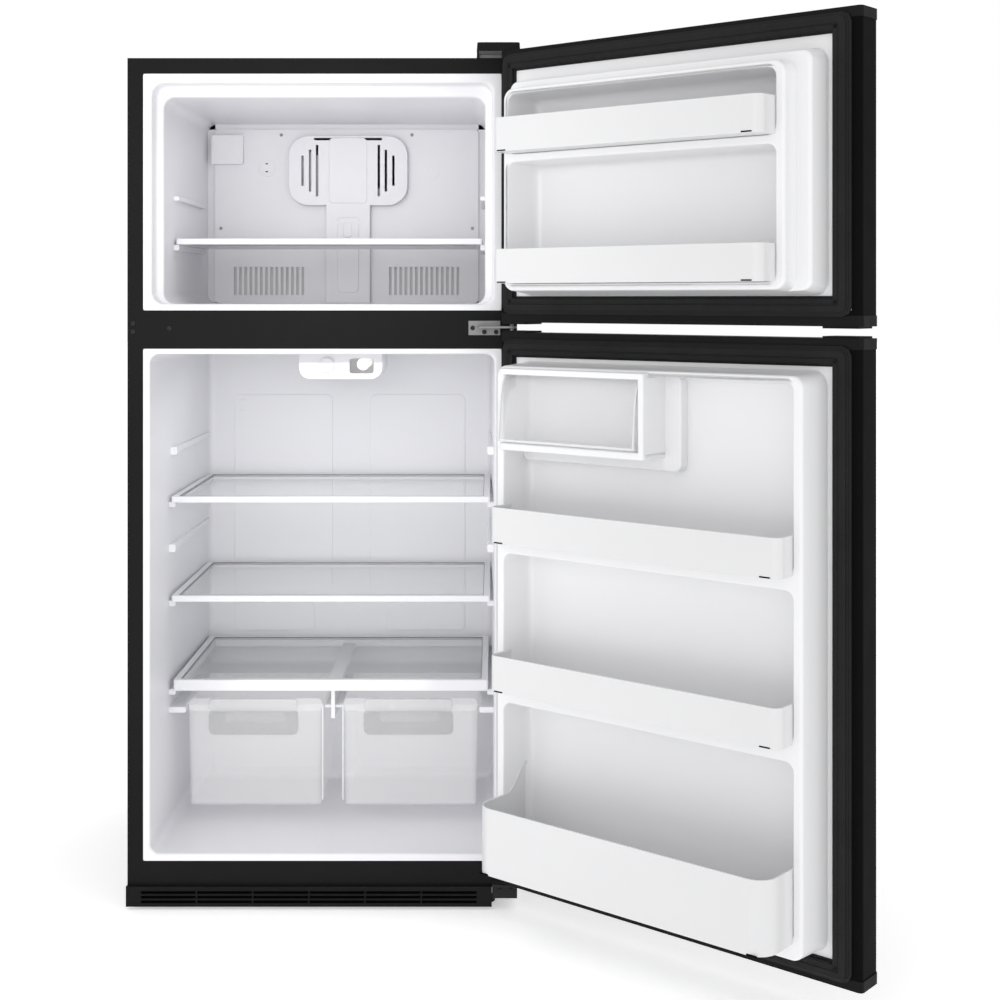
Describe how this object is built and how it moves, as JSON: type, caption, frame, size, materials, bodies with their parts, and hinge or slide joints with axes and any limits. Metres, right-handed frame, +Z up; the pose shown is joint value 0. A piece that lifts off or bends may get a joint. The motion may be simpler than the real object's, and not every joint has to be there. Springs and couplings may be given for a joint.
{
  "type": "top freezer refrigerator",
  "caption": "Two-door refrigerator with the freezer on top: glass shelves, clear crispers, door racks and a dairy compartment; doors, shelves and drawers move.",
  "frame": {"origin": "on the floor, mid-width of the cabinet, in the plane of the cabinet's front flange", "axes": "+X to the right of someone facing the refrigerator, +Y into the cabinet, +Z up"},
  "size_m": [1.3474, 1.2923, 1.685],
  "materials": {
    "cabinet_paint": "satin black baked paint",
    "liner_white": "glossy white thermoformed liner",
    "liner_grey": "glossy pale grey thermoformed liner",
    "trim_white": "glossy white moulding",
    "bin_white": "glossy white moulding",
    "clear_plastic": "clear moulding",
    "shelf_glass": "clear tempered glass",
    "gasket_black": "soft extrusion",
    "black_plastic": "fine grain moulding",
    "hinge_grey": "grey coated steel",
    "galvanised": "galvanised sheet",
    "screw_steel": "plated steel",
    "foam_core": "rigid foam",
    "coil_metal": "fins and tube",
    "condenser_black": "black coated tube",
    "compressor_black": "black enamel",
    "motor_grey": "motor can",
    "fan_white": "moulded fan",
    "lamp_glass": "frosted bulb",
    "roller_plastic": "moulded wheels on a steel axle"
  },
  "bodies": {
    "cabinet": {"base_deck": "galvanised", "bottom_hinge_bracket": "condenser_black", "cabinet_back_panel": "galvanised", "cabinet_foam": "foam_core", "center_hinge_bracket": "hinge_grey", "compressor": "compressor_black", "condenser_coil": "condenser_black", "condenser_fan_motor": "motor_grey", "control_housing": "trim_white", "crisper_cover_frame": "trim_white", "crisper_cover_glass": "shelf_glass", "drain_pan": "black_plastic", "evaporator_coil": "coil_metal", "evaporator_cover": "trim_white", "evaporator_fan_motor": "motor_grey", "fan_shroud": "trim_white", "freezer_liner": "liner_grey", "fridge_liner": "liner_grey", "hinge_screws": "screw_steel", "lamp_bulb": "lamp_glass", "lower_front_rail": "cabinet_paint", "mullion_bar": "cabinet_paint", "rear_access_cover": "galvanised", "side_panel_left": "cabinet_paint", "side_panel_right": "cabinet_paint", "toe_grille": "black_plastic", "top_hinge_bracket": "hinge_grey", "top_hinge_cover": "black_plastic", "top_panel": "cabinet_paint"},
    "freezer_door": {"freezer_door_caps": "black_plastic", "freezer_door_foam": "foam_core", "freezer_door_gasket": "gasket_black", "freezer_door_handle": "black_plastic", "freezer_door_liner": "liner_white", "freezer_door_skin": "cabinet_paint", "freezer_rack_lower": "bin_white", "freezer_rack_upper": "bin_white"},
    "fridge_door": {"fridge_door_caps": "black_plastic", "fridge_door_foam": "foam_core", "fridge_door_gasket": "gasket_black", "fridge_door_handle": "black_plastic", "fridge_door_liner": "liner_white", "fridge_door_skin": "cabinet_paint", "fridge_rack_lower": "bin_white", "fridge_rack_upper": "bin_white", "gallon_bin": "bin_white"},
    "dairy_lid": {"dairy_lid": "clear_plastic"},
    "freezer_shelf": {"freezer_shelf": "trim_white"},
    "upper_shelf": {"upper_shelf_glass": "shelf_glass", "upper_shelf_frame": "trim_white"},
    "lower_shelf": {"lower_shelf_glass": "shelf_glass", "lower_shelf_frame": "trim_white"},
    "crisper_left": {"crisper_left": "clear_plastic"},
    "crisper_right": {"crisper_right": "clear_plastic"},
    "temperature_knob": {"temperature_knob": "trim_white"},
    "evaporator_fan": {"evaporator_fan": "fan_white"},
    "condenser_fan": {"condenser_fan": "fan_white"},
    "rear_rollers": {"rear_rollers": "roller_plastic"},
    "leveling_leg_left": {"leveling_leg_left": "black_plastic"},
    "leveling_leg_right": {"leveling_leg_right": "black_plastic"}
  },
  "joints": [
    {"name": "freezer_door_hinge", "type": "hinge", "parent": "cabinet", "child": "freezer_door", "pos_m": [0.37, -0.036, 1.407], "axis": [0, 0, 1], "range_deg": [-140, 0]},
    {"name": "fridge_door_hinge", "type": "hinge", "parent": "cabinet", "child": "fridge_door", "pos_m": [0.37, -0.036, 0.596], "axis": [0, 0, 1], "range_deg": [-140, 0]},
    {"name": "dairy_lid_hinge", "type": "hinge", "parent": "fridge_door", "child": "dairy_lid", "pos_m": [0.47882, -0.26568, 1.042], "axis": [-0.766, 0.6428, 0], "range_deg": [0, 60]},
    {"name": "freezer_shelf_slide", "type": "slide", "parent": "cabinet", "child": "freezer_shelf", "axis": [0, -1, 0], "range_m": [0, 0.22]},
    {"name": "upper_shelf_slide", "type": "slide", "parent": "cabinet", "child": "upper_shelf", "axis": [0, -1, 0], "range_m": [0, 0.26]},
    {"name": "lower_shelf_slide", "type": "slide", "parent": "cabinet", "child": "lower_shelf", "axis": [0, -1, 0], "range_m": [0, 0.26]},
    {"name": "crisper_left_slide", "type": "slide", "parent": "cabinet", "child": "crisper_left", "axis": [0, -1, 0], "range_m": [0, 0.24]},
    {"name": "crisper_right_slide", "type": "slide", "parent": "cabinet", "child": "crisper_right", "axis": [0, -1, 0], "range_m": [0, 0.24]},
    {"name": "temperature_knob_turn", "type": "hinge", "parent": "cabinet", "child": "temperature_knob", "pos_m": [-0.022, 0.3, 1.049], "axis": [0, 1, 0], "range_deg": [-60, 60]},
    {"name": "evaporator_fan_spin", "type": "hinge", "parent": "cabinet", "child": "evaporator_fan", "pos_m": [0.005, 0.516, 1.482], "axis": [0, 1, 0], "continuous": true},
    {"name": "condenser_fan_spin", "type": "hinge", "parent": "cabinet", "child": "condenser_fan", "pos_m": [-0.05, 0.592, 0.15], "axis": [1, 0, 0], "continuous": true},
    {"name": "rear_roller_spin", "type": "hinge", "parent": "cabinet", "child": "rear_rollers", "pos_m": [0, 0.6, 0.022], "axis": [1, 0, 0], "continuous": true},
    {"name": "leveling_leg_left_screw", "type": "slide", "parent": "cabinet", "child": "leveling_leg_left", "axis": [0, 0, 1], "range_m": [-0.015, 0]},
    {"name": "leveling_leg_right_screw", "type": "slide", "parent": "cabinet", "child": "leveling_leg_right", "axis": [0, 0, 1], "range_m": [-0.015, 0]}
  ]
}
